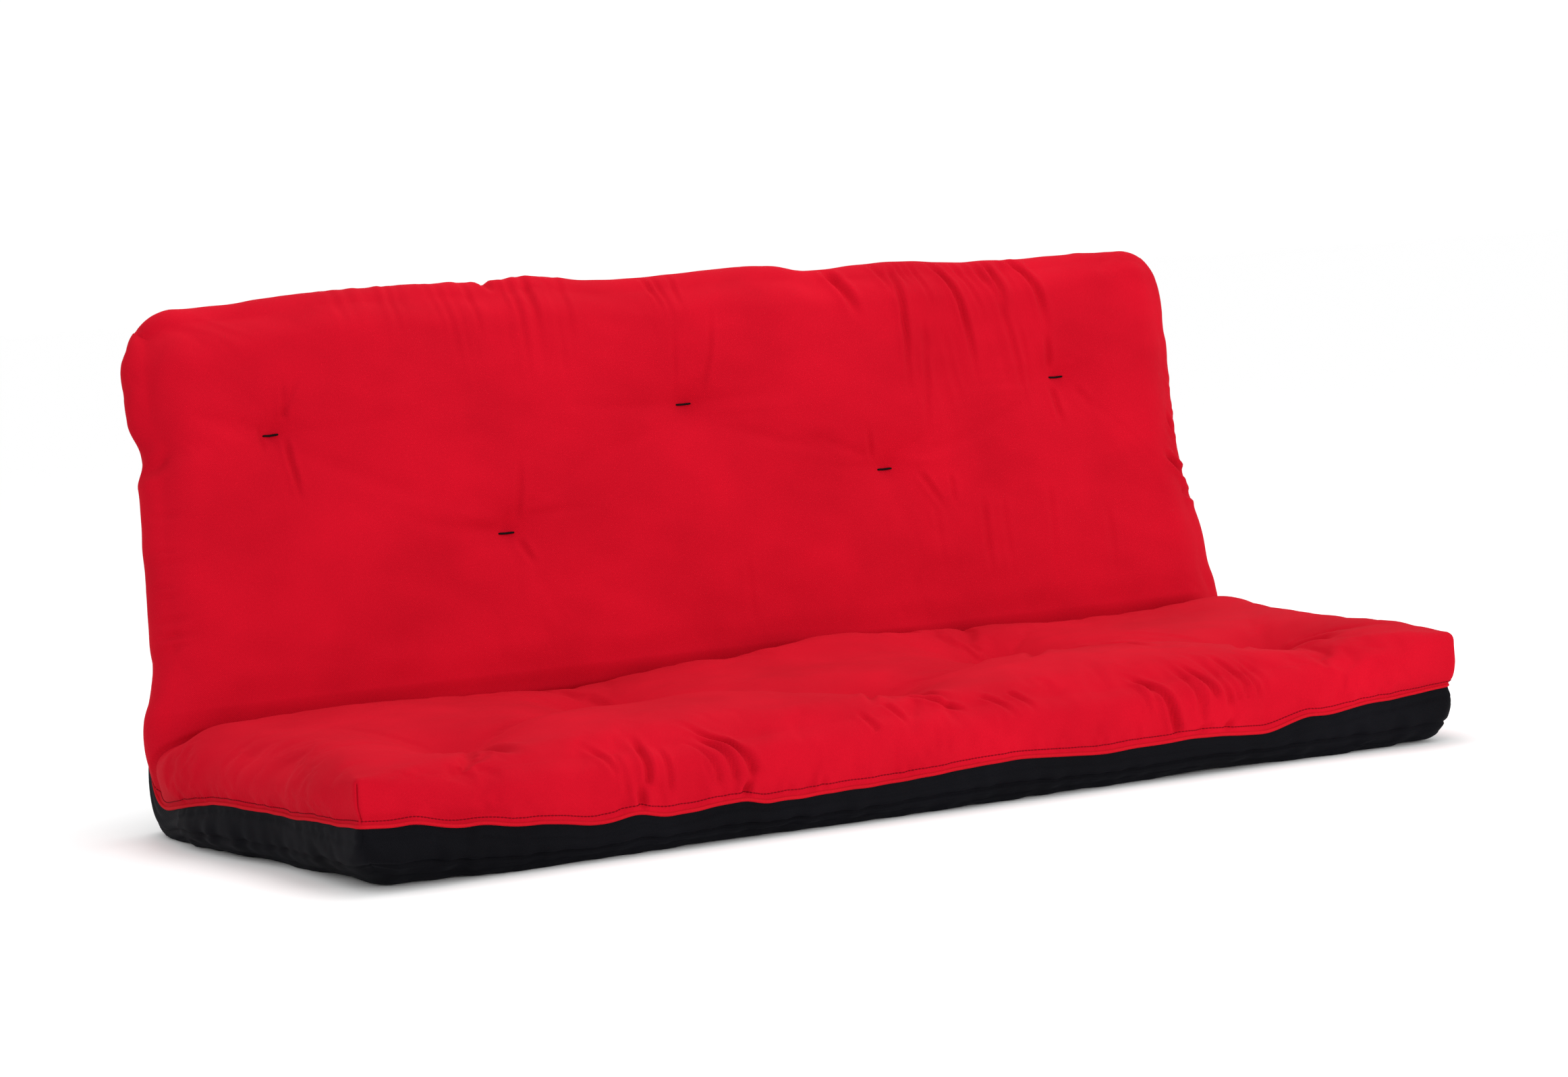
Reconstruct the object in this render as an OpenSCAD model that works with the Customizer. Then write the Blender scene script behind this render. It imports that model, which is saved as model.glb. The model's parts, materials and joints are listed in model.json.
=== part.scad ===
// Full-size futon mattress, folded once along its length into a seat and a leaning back.
// Origin: centre of the seat's flat underside. +X runs along the fold, -Y is the front edge, +Z is up.
// Each half is modelled lying flat, with the fold at y = 0 and its underside at z = 0, and is then placed.

/* [Mattress] */
// Overall length along the fold, welt to welt
mattress_l = 1905; // [1370:5:2000]
// Seat depth, from the front edge to the fold
seat_d = 655; // [560:5:760]
// Back height, from the fold to the top edge
back_h = 655; // [560:5:760]
// Thickness at the crowns between the tufts
thick = 170; // [150:5:200]
// Lean of the back from upright, in degrees
back_lean = 13.5; // [5:0.5:30]

/* [Edges] */
// Radius of the upper edges
top_r = 62; // [40:1:70]
// Radius of the lower edges
bottom_r = 34; // [20:1:45]
// Radius of the free corners, seen from above
corner_r = 58; // [40:1:90]
// Outer radius of the welt
welt_r = 4.6; // [3.5:0.1:6]
// Radius of the cord inside the welt
cord_r = 2.8; // [1.5:0.1:3]

/* [Cover] */
// Thickness of the cover fabric with its backing
fabric_t = 3; // [2:0.5:5]
// Height of the welt above the underside
welt_z = 84; // [78:1:90]
// Height of the seam between the border and the bottom panel
border_z = 36; // [36:1:46]

/* [Filling] */
// Batting between the cover and the core
batting_t = 42; // [36:1:50]
// Height of the core's lower face
core_z0 = 46; // [40:1:50]
// Height of the core's upper face
core_z1 = 118; // [110:1:120]

/* [Tufts] */
// Depth of each tuft's dimple in the upper face
tuft_depth = 30; // [15:1:36]
// Depth of each tuft's dimple in the underside
under_depth = 12; // [8:1:16]
// Radius of the round of each dimple
dimple_r = 150; // [120:5:180]
// Length of the bar stitch
bar_l = 25; // [18:1:32]
// Radius of the twine
twine_r = 1.5; // [1:0.1:2]

/* [Hidden] */
$fn = 64;

gap = 0.3;                         // clearance between neighbouring layers
end_gap = 0.2;                     // clearance between a half and the fold section
crease_lift = 2;                   // height of the hinge line above the upper face
axis_z = thick + crease_lift;      // height of the hinge line
fold_angle = 90 - back_lean;       // angle that the fold section fills
crease_r = 16;                     // radius kept clear round the hinge line
fold_trim = 0.1;                   // angle trimmed off each end of the fold section

welt_proud = 1.5;                  // the welt's centre stands this far out of the side wall
body_l = mattress_l - 2 * (welt_proud + welt_r);
seam_gap = welt_r + gap;           // half the slot that the welt sits in
stitch_r = 0.7;                    // radius of the stitching thread
stitch_rise = 8;                   // height of the stitching above the welt's centre
side_inset = fabric_t + batting_t; // from the side wall to the core
layer = fabric_t + gap;            // from the outer surface to the batting
layer_split = (core_z0 + core_z1) / 2;
far = 3000;                        // larger than the mattress, for cutting slabs

// Tuft places: [along the fold from the middle, distance from the fold]
seat_tuft_places = [[-705, 470], [0, 470], [715, 470], [-355, 250], [355, 250]];
back_tuft_places = [[-735, 433], [0, 433], [715, 433], [-355, 250], [355, 300]];

// ---- Outline of a half ----

// Rounded section, w wide about x = 0 and from z0 to z1 high, with its own upper and lower radii
module edge_section(w, z0, z1, upper_r, lower_r) {
    union() {
        translate([-w / 2, z0 + lower_r]) square([w, z1 - z0 - upper_r - lower_r]);
        translate([-w / 2 + upper_r, z0 + lower_r]) square([w - 2 * upper_r, z1 - z0 - lower_r]);
        translate([-w / 2 + lower_r, z0]) square([w - 2 * lower_r, lower_r + 1]);
        for (side = [-1, 1]) {
            translate([side * (w / 2 - upper_r), z1 - upper_r]) circle(r = upper_r);
            translate([side * (w / 2 - lower_r), z0 + lower_r]) circle(r = lower_r);
        }
    }
}

// Section of the two ends at an inset from the outer surface
module end_profile(inset) {
    edge_section(body_l - 2 * inset, inset, thick - inset, top_r - inset, bottom_r - inset);
}

// Plan of a half: square at the fold, rounded at its two free corners
module plan(depth, inset) {
    w = body_l - 2 * inset;
    r = corner_r - inset;
    union() {
        translate([-w / 2, end_gap]) square([w, depth - inset - r - end_gap]);
        translate([-w / 2 + r, end_gap]) square([w - 2 * r, depth - inset - end_gap]);
        for (side = [-1, 1]) translate([side * (w / 2 - r), depth - inset - r]) circle(r = r);
    }
}

// A half's filled outline at an inset, without dimples
module block(depth, inset) {
    intersection() {
        translate([0, depth, 0]) rotate([90, 0, 0]) linear_extrude(depth) end_profile(inset);
        translate([-body_l / 2, 0, 0]) rotate([90, 0, 90]) linear_extrude(body_l)
            edge_section(2 * (depth - inset), inset, thick - inset, top_r - inset, bottom_r - inset);
        linear_extrude(thick) plan(depth, inset);
    }
}

// Balls that press the dimples into both faces of a half at its tufts
module dimples(places, inset) {
    for (place = places) {
        translate([place[0], place[1], thick - tuft_depth + dimple_r]) sphere(r = dimple_r + inset);
        translate([place[0], place[1], under_depth - dimple_r]) sphere(r = dimple_r + inset);
    }
}

module pad(depth, places, inset) {
    difference() {
        block(depth, inset);
        dimples(places, inset);
    }
}

// Slab between two heights
module slab(z0, z1) {
    translate([-far / 2, -far / 2, z0]) cube([far, far, z1 - z0]);
}

// Cover shell of a half between two heights
module shell(depth, places, z0, z1) {
    intersection() {
        difference() {
            pad(depth, places, 0);
            pad(depth, places, fabric_t);
            twine_holes(places);
        }
        slab(z0, z1);
    }
}

// ---- Layers of a half ----

module core_block(depth, grow) {
    w = body_l - 2 * side_inset + 2 * grow;
    translate([-w / 2, end_gap, core_z0 - grow])
        cube([w, depth - side_inset + grow - end_gap, core_z1 - core_z0 + 2 * grow]);
}

module core(depth, places) {
    difference() {
        core_block(depth, 0);
        twine_holes(places);
    }
}

module batting(depth, places, z0, z1) {
    intersection() {
        difference() {
            pad(depth, places, layer);
            core_block(depth, gap);
            twine_holes(places);
        }
        slab(z0, z1);
    }
}

// The two runs of twine of each tuft, or the holes that they pass through
module twine_runs(places, r, z0, z1) {
    for (place = places, side = [-1, 1])
        translate([place[0] + side * (bar_l / 2 - twine_r), place[1], z0]) cylinder(r = r, h = z1 - z0);
}

module twine_holes(places) {
    twine_runs(places, twine_r + gap, -1, thick + 1);
}

// Bar stitches on both faces, joined by their runs of twine
module tufts(places) {
    bar_rise = twine_r + 0.8;      // keeps a bar's ends clear of the dimple's round
    top_z = thick - tuft_depth + bar_rise;
    under_z = under_depth - bar_rise;
    half = bar_l / 2 - twine_r;
    union() {
        twine_runs(places, twine_r, under_z, top_z);
        for (place = places, z = [under_z, top_z]) translate([place[0], place[1], z]) {
            translate([-half, 0, 0]) rotate([0, 90, 0]) cylinder(r = twine_r, h = 2 * half);
            for (side = [-1, 1]) translate([side * half, 0, 0]) sphere(r = twine_r);
        }
    }
}

// Round rope along the three free sides of a half, at the side wall plus an offset
module rope(depth, z, r, out) {
    x = body_l / 2 + out;
    straight_y = depth - corner_r;
    union() {
        for (side = [-1, 1]) {
            translate([side * x, end_gap, z]) rotate([-90, 0, 0])
                cylinder(r = r, h = straight_y - end_gap);
            translate([side * (body_l / 2 - corner_r), straight_y, z]) rotate([0, 0, side > 0 ? 0 : 90])
                rotate_extrude(angle = 90) translate([corner_r + out, 0]) circle(r = r);
        }
        translate([corner_r - body_l / 2, depth + out, z]) rotate([0, 90, 0])
            cylinder(r = r, h = body_l - 2 * corner_r);
    }
}

module welt_tube(depth) {
    difference() {
        rope(depth, welt_z, welt_r, welt_proud);
        rope(depth, welt_z, cord_r + gap / 2, welt_proud);
    }
}

module welt_cord(depth) {
    rope(depth, welt_z, cord_r, welt_proud);
}

module stitching(depth) {
    rope(depth, welt_z + stitch_rise, stitch_r, stitch_r + gap / 2);
}

// ---- Fold section, swept about the hinge line ----

// Sweeps a section drawn as [distance from the hinge line, place along it] through the fold's angle
module fold_sweep() {
    translate([0, seat_d / 2, axis_z]) rotate([fold_trim, 0, 0]) rotate([0, 90, 0])
        rotate_extrude(angle = fold_angle - 2 * fold_trim) children();
}

// The ends' profile turned so that its height becomes distance from the hinge line
module fold_profile(inset) {
    intersection() {
        translate([axis_z, 0]) rotate([0, 0, 90]) end_profile(inset);
        translate([crease_r, -far / 2]) square([far, far]);
    }
}

// Band of the section between two heights of the flat mattress
module fold_band(z0, z1) {
    translate([axis_z - z1, -far / 2]) square([z1 - z0, far]);
}

module fold_shell(z0, z1) {
    fold_sweep() intersection() {
        difference() {
            fold_profile(0);
            fold_profile(fabric_t);
        }
        fold_band(z0, z1);
    }
}

module fold_core_profile(grow) {
    w = body_l - 2 * side_inset + 2 * grow;
    translate([axis_z - core_z1 - grow, -w / 2]) square([core_z1 - core_z0 + 2 * grow, w]);
}

module fold_batting(z0, z1) {
    fold_sweep() intersection() {
        difference() {
            fold_profile(layer);
            fold_core_profile(gap);
        }
        fold_band(z0, z1);
    }
}

// Round rope at both ends of the fold
module fold_rope(z, r, out) {
    fold_sweep() for (side = [-1, 1]) translate([axis_z - z, side * (body_l / 2 + out)]) circle(r = r);
}

// ---- Placing the halves ----

module place_seat() {
    translate([0, seat_d / 2, 0]) mirror([0, 1, 0]) children();
}

module place_back() {
    translate([0, seat_d / 2, axis_z]) rotate([fold_angle, 0, 0]) translate([0, 0, -axis_z]) children();
}

// ---- Seat ----

module seat_top_cover() {
    color("crimson") place_seat() shell(seat_d, seat_tuft_places, welt_z + seam_gap, thick);
}

module seat_welt() {
    color("orangered") place_seat() welt_tube(seat_d);
}

module seat_welt_cord() {
    color("ivory") place_seat() welt_cord(seat_d);
}

module seat_cover_stitching() {
    color("darkred") place_seat() stitching(seat_d);
}

module seat_bottom_border() {
    color("black") place_seat() shell(seat_d, seat_tuft_places, border_z, welt_z - seam_gap);
}

module seat_bottom_panel() {
    color("midnightblue") place_seat() shell(seat_d, seat_tuft_places, 0, border_z - gap);
}

module seat_top_batting() {
    color("whitesmoke") place_seat() batting(seat_d, seat_tuft_places, layer_split + gap / 2, thick);
}

module seat_foam_core() {
    color("khaki") place_seat() core(seat_d, seat_tuft_places);
}

module seat_bottom_batting() {
    color("lightgrey") place_seat() batting(seat_d, seat_tuft_places, 0, layer_split - gap / 2);
}

module seat_tufts() {
    color("dimgrey") place_seat() tufts(seat_tuft_places);
}

// ---- Fold ----

module fold_end_gussets() {
    color("firebrick") fold_shell(welt_z + seam_gap, thick);
}

module fold_welt() {
    color("tomato") difference() {
        fold_rope(welt_z, welt_r, welt_proud);
        fold_rope(welt_z, cord_r + gap / 2, welt_proud);
    }
}

module fold_welt_cord() {
    color("ivory") fold_rope(welt_z, cord_r, welt_proud);
}

module fold_cover_stitching() {
    color("darkred") fold_rope(welt_z + stitch_rise, stitch_r, stitch_r + gap / 2);
}

module fold_bottom_border() {
    color("black") fold_shell(border_z, welt_z - seam_gap);
}

module fold_bottom_panel() {
    color("midnightblue") fold_shell(0, border_z - gap);
}

module fold_top_batting() {
    color("whitesmoke") fold_batting(layer_split + gap / 2, thick);
}

module fold_foam_core() {
    color("khaki") fold_sweep() fold_core_profile(0);
}

module fold_bottom_batting() {
    color("lightgrey") fold_batting(0, layer_split - gap / 2);
}

// ---- Back ----

module back_top_cover() {
    color("crimson") place_back() shell(back_h, back_tuft_places, welt_z + seam_gap, thick);
}

module back_welt() {
    color("orangered") place_back() welt_tube(back_h);
}

module back_welt_cord() {
    color("ivory") place_back() welt_cord(back_h);
}

module back_cover_stitching() {
    color("darkred") place_back() stitching(back_h);
}

module back_bottom_border() {
    color("black") place_back() shell(back_h, back_tuft_places, border_z, welt_z - seam_gap);
}

module back_bottom_panel() {
    color("midnightblue") place_back() shell(back_h, back_tuft_places, 0, border_z - gap);
}

module back_top_batting() {
    color("whitesmoke") place_back() batting(back_h, back_tuft_places, layer_split + gap / 2, thick);
}

module back_foam_core() {
    color("khaki") place_back() core(back_h, back_tuft_places);
}

module back_bottom_batting() {
    color("lightgrey") place_back() batting(back_h, back_tuft_places, 0, layer_split - gap / 2);
}

module back_tufts() {
    color("dimgrey") place_back() tufts(back_tuft_places);
}

seat_top_cover();
seat_welt();
seat_welt_cord();
seat_cover_stitching();
seat_bottom_border();
seat_bottom_panel();
seat_top_batting();
seat_foam_core();
seat_bottom_batting();
seat_tufts();
fold_end_gussets();
fold_welt();
fold_welt_cord();
fold_cover_stitching();
fold_bottom_border();
fold_bottom_panel();
fold_top_batting();
fold_foam_core();
fold_bottom_batting();
back_top_cover();
back_welt();
back_welt_cord();
back_cover_stitching();
back_bottom_border();
back_bottom_panel();
back_top_batting();
back_foam_core();
back_bottom_batting();
back_tufts();
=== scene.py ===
"""Futon mattress folded into a seat and a leaning back: the visible covers, welt, stitching and tufts.

The mattress is shaped lying flat and then folded. Flat places are x along the fold, s across it (below 0 on
the seat, above 0 on the back) and h above the underside. Sheet places (u, w) run on past the edges and down
the walls, as the cloth does, so a crease in the cover is drawn once and goes over an edge by itself.
"""
import json
import math

import bpy
import numpy as np
from mathutils import Matrix, Vector


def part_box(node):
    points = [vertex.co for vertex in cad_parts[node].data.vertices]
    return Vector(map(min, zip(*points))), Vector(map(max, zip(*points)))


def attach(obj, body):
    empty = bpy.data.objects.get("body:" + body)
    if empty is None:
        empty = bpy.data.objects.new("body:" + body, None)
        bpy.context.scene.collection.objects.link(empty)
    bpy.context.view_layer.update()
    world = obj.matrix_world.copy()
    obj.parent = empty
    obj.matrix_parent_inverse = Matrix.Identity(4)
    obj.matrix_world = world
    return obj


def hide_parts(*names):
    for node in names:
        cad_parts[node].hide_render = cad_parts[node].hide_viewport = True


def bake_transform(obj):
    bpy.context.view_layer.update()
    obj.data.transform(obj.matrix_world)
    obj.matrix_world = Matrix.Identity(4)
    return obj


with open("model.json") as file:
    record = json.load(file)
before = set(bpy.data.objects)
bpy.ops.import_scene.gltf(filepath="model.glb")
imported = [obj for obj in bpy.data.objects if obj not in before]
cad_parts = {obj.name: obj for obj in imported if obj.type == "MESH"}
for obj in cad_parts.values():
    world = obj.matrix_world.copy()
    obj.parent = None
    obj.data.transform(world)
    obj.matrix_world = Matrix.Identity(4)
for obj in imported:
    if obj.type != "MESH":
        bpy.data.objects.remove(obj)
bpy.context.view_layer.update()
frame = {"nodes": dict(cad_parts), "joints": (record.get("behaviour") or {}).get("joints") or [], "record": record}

# ---- Driving sizes, read from the frame ----

JOINT = frame["joints"][0]
CREASE_Y, AXIS_Z = JOINT["pos_m"][1], JOINT["pos_m"][2]
COVER_LOW, COVER_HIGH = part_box("seat_top_cover")
HALF_L = COVER_HIGH.x
THICK = COVER_HIGH.z
SEAT_D = CREASE_Y - COVER_LOW.y
REAR_MOUNT = next(m for m in frame["record"]["mounts"] if m["name"] == "back_rear_face")
LEAN = math.asin(-REAR_MOUNT["axis"][2])
OPEN_ANGLE = math.pi / 2 - LEAN
BACK_UP = Vector((0, math.sin(LEAN), math.cos(LEAN)))
CREASE = Vector((0, CREASE_Y, AXIS_Z))
BACK_H = 2 * (Vector(REAR_MOUNT["pos_m"]) - CREASE).dot(BACK_UP)
WELT_LOW, WELT_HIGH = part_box("seat_welt")
WELT_H = (WELT_LOW.z + WELT_HIGH.z) / 2
WELT_R = (WELT_HIGH.z - WELT_LOW.z) / 2

# ---- Sizes of the soft shape ----

FOLD_HALF = 0.030                    # half the width that bends at the fold
TOP_R, BOTTOM_R = 0.074, 0.036       # rounding of the upper and lower edges
CORNER_FADE = 0.20                   # length over which a corner's rounding grows to an edge's
SEAT_CORNER_R = (0.018, 0.012)       # rounding of the upper corners at the left and right end
BACK_CORNER_R = (0.100, 0.046)
LOWER_CORNER_R = (0.065, 0.034)      # rounding of the lower corners at the left and right end
NOSE_H = 0.125                       # height of the widest line: below it the ends pull in
BACK_NOSE_IN = 0.085                 # how far the back's ends pull in at its rear face
SEAT_NOSE_IN = 0.018                 # how far the seat's ends pull in at its underside
SQUARENESS = 0.25                    # how much farther the fold's outer side stands out than a round bend
FOLD_SPREAD = 0.025                  # how far the fold's outer side spreads at the left end

# Tuft dimples of the red cover: depth, spread, and depth of the valleys between them
SEAT_PADDING = (0.055, 0.088, 0.018)
BACK_PADDING = (0.022, 0.050, 0.001)
UNDER_PADDING = (0.020, 0.050)       # depth and spread of the dimples in the black cover
DIMPLE_CORE = 0.020                  # radius of a dimple's narrow core
VALLEY_WIDTH = 0.050
SEAT_TUCK = (0.034, 0.040)           # depth and width of the cover's tuck into the crease
BACK_TUCK = (0.012, 0.020)
SEAT_CREASES = (2.0, 0.08)           # strength of the drawn creases, and the part over which they begin
BACK_CREASES = (1.7, 0.25)
BULGE = 0.012                        # fullness of the red wall
BULGE_DROP, BULGE_WIDTH = 0.042, 0.036
GROOVE_WIDTH = 0.0036                # sewn groove in the black wall
WELT_SHOWN = 0.62                    # visible welt's radius, as a share of the CAD's
STITCH_LIFT = 0.0004                 # how far the stitching stands proud of the red cover
BAR_HALF, BAR_R = 0.0140, 0.0018     # half length and radius of a tuft's bar

# ---- Grid and cloth ----

STEP = 0.004    # spacing of the covers' grid
UPPER_RINGS, LOWER_RINGS = ((22, 28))
BEND_ZONE = 0.07                     # half the width of the finer grid at the fold
SEAM_ZONE = 0.012                    # width of the finer grid at the edges
CLOTH_STEP = 0.010                   # cell of the simulated cover
CLOTH_FRAMES = 20
CLOTH_PRESSURE = 3.0
CLOTH_GROWTH = (-0.028, -0.004)      # shrink where slack and where taut: below 0 the cloth grows
CLOTH_CAP = 0.020                    # size that the movement approaches, however large it gets
UNDER_SHARE = 0.5                    # share of the simulated movement that the black cover keeps

# ---- Outlines ----

# How far each end stands out beyond the plain box, at places across the fold
OUT_S = (-0.66, -0.40, -0.20, 0.00, 0.12, 0.25, 0.385, 0.425, 0.49, 0.56, 0.66)
OUT_LEFT = (0.000, 0.006, 0.022, 0.030, 0.006, -0.002, -0.012, -0.024, -0.008, -0.009, -0.015)
OUT_RIGHT = (0.017, 0.021, 0.032, 0.046, 0.036, 0.018, 0.026, 0.028, 0.028, 0.026, 0.019)

# How far the back's top edge stands above the plain box, at places along it
RISE_X = (-0.95, -0.86, -0.60, -0.38, -0.31, -0.24, -0.07, 0.22, 0.29, 0.36, 0.65, 0.72, 0.83, 0.95)
RISE = (-0.002, 0.008, 0.017, 0.019, 0.011, 0.019, 0.005, 0.010, 0.000, 0.001, -0.003, -0.006, -0.004, -0.015)

# How far the seat's crest beside the crease stands above the plain box, at places along it
CREST_X = (-0.95, -0.60, -0.45, -0.33, -0.20, -0.10, 0.02, 0.15, 0.30, 0.42, 0.60, 0.75, 0.90, 0.95)
CREST = (0.004, 0.002, -0.004, -0.008, 0.002, 0.012, 0.022, 0.027, 0.022, 0.015, 0.006, 0.006, 0.014, 0.014)


def smooth(t):
    """Eased step from 0 to 1."""
    t = np.clip(t, 0, 1)
    return t * t * (3 - 2 * t)


def bell(t):
    """Bell curve of height 1 and half width about 1."""
    return np.exp(-t * t)


def curve_through(places, values, at):
    """Smooth curve through a few places: an eased step from each value to the next."""
    places, values = np.array(places), np.array(values)
    i = np.clip(np.searchsorted(places, at) - 1, 0, len(places) - 2)
    t = smooth((at - places[i]) / (places[i + 1] - places[i]))
    return values[i] + t * (values[i + 1] - values[i])


# ---- Flat mattress to folded mattress ----

def edge_rounding(x, s, h):
    """Rounding radius: small at the corners, larger along the edges, and changing from top to bottom."""
    to_free_edge = np.where(s < 0, SEAT_D + s, BACK_H - s)
    to_corner = np.maximum(HALF_L - np.abs(x), to_free_edge)
    corner_r = np.where(s < 0, np.where(x < 0, *SEAT_CORNER_R), np.where(x < 0, *BACK_CORNER_R))
    upper = corner_r + (TOP_R - corner_r) * smooth((to_corner - corner_r) / CORNER_FADE)
    corner_r = np.where(x < 0, *LOWER_CORNER_R)
    lower = corner_r + (BOTTOM_R - corner_r) * smooth((to_corner - corner_r) / CORNER_FADE)
    return lower + (upper - lower) * smooth((h - 0.02) / (WELT_H - 0.03))


def rounded(x, s, h):
    """A point of the plain flat box moved onto its rounded form, and the outward normal there."""
    r = edge_rounding(x, s, h)
    core_h = np.where(2 * r < THICK, np.clip(h, r, THICK - r), r + (THICK - 2 * r) * h / THICK)
    q = np.stack([np.clip(x, r - HALF_L, HALF_L - r), np.clip(s, r - SEAT_D, BACK_H - r), core_h], -1)
    n = np.stack([x, s, h], -1) - q
    n /= np.maximum(np.linalg.norm(n, axis=-1, keepdims=True), 1e-9)
    return q + r[..., None] * n, n


def fold(p):
    """Flat places to the shared frame: ends and top edge take their outline, and all turns at the hinge."""
    x, s, h = p[..., 0], p[..., 1], p[..., 2]
    on_back = smooth((s + 0.06) / 0.16)
    below = np.clip((NOSE_H - h) / NOSE_H, 0, 1)
    inward = BACK_NOSE_IN * below ** 1.6 * on_back + SEAT_NOSE_IN * below * (1 - on_back)
    inward -= FOLD_SPREAD * below * smooth((0.05 - s) / 0.08) * smooth((s + 0.35) / 0.25) * (x < 0)
    out = np.where(x < 0, curve_through(OUT_S, OUT_LEFT, s), curve_through(OUT_S, OUT_RIGHT, s))
    x = x + np.sign(x) * (out - inward) * (np.abs(x) / HALF_L) ** 4
    s = s + curve_through(RISE_X, RISE, x) * smooth((s - 0.1) / (BACK_H - 0.1))
    angle = OPEN_ANGLE * smooth((s + FOLD_HALF) / (2 * FOLD_HALF))
    k = h - AXIS_Z
    k = k * (1 + SQUARENESS * np.clip(-k / AXIS_Z, 0, 1) * np.sin(np.pi * angle / OPEN_ANGLE) ** 2)
    y = CREASE_Y + s * np.cos(angle) - k * np.sin(angle)
    z = AXIS_Z + s * np.sin(angle) + k * np.cos(angle)
    return np.stack([x, y, np.maximum(z, 0.0)], -1)


# ---- Tufts, read from the CAD's bar stitches ----

def tuft_places(node, to_flat):
    """(x, s) of each tuft: the node's vertices in groups along x."""
    points = np.array([to_flat(v.co) for v in frame["nodes"][node].data.vertices])
    points = points[np.argsort(points[:, 0])]
    cuts = np.where(np.diff(points[:, 0]) > 0.1)[0] + 1
    return [tuple(g.mean(0)) for g in np.split(points, cuts)]


SEAT_TUFTS = tuft_places("seat_tufts", lambda p: (p.x, p.y - CREASE_Y))
BACK_TUFTS = tuft_places("back_tufts", lambda p: (p.x, (p - CREASE).dot(BACK_UP)))


# ---- Relief of the covers ----

def tuft_dimple(u, w, place, depth, spread):
    """Dimple round a tuft: a narrow core in a wide hollow."""
    r = np.hypot(u - place[0], w - place[1])
    return depth * (0.42 * np.exp(-(r / DIMPLE_CORE) ** 1.5) + 0.58 * np.exp(-(r / spread) ** 1.7))


def along(u, w, a, b):
    """Distance from the stretch a to b, and how far along it the nearest point is, from 0 to 1."""
    d = np.subtract(b, a)
    t = np.clip(((u - a[0]) * d[0] + (w - a[1]) * d[1]) / (d @ d), 0, 1)
    return np.hypot(u - a[0] - t * d[0], w - a[1] - t * d[1]), t


def valley(u, w, a, b, depth, width):
    """Soft valley between two tufts, shallower in the middle."""
    gap, t = along(u, w, a, b)
    return depth * (1 - 0.45 * np.sin(np.pi * t)) * bell(gap / width)


def soft_noise(u, w, size, seed, terms=14):
    """Smooth wandering noise of about unit height, from seeded plane waves."""
    rng = np.random.default_rng(seed)
    out = np.zeros_like(u)
    for _ in range(terms):
        angle, pitch = rng.uniform(0, 2 * np.pi), size * rng.uniform(0.7, 1.6)
        out += np.sin((u * np.cos(angle) + w * np.sin(angle)) * 2 * np.pi / pitch + rng.uniform(0, 2 * np.pi))
    return out / math.sqrt(terms / 2)


def neighbours(tufts, reach):
    """Pairs of tufts closer together than the reach."""
    return [(a, b) for i, a in enumerate(tufts) for b in tufts[i + 1:] if math.dist(a, b) < reach]


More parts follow.
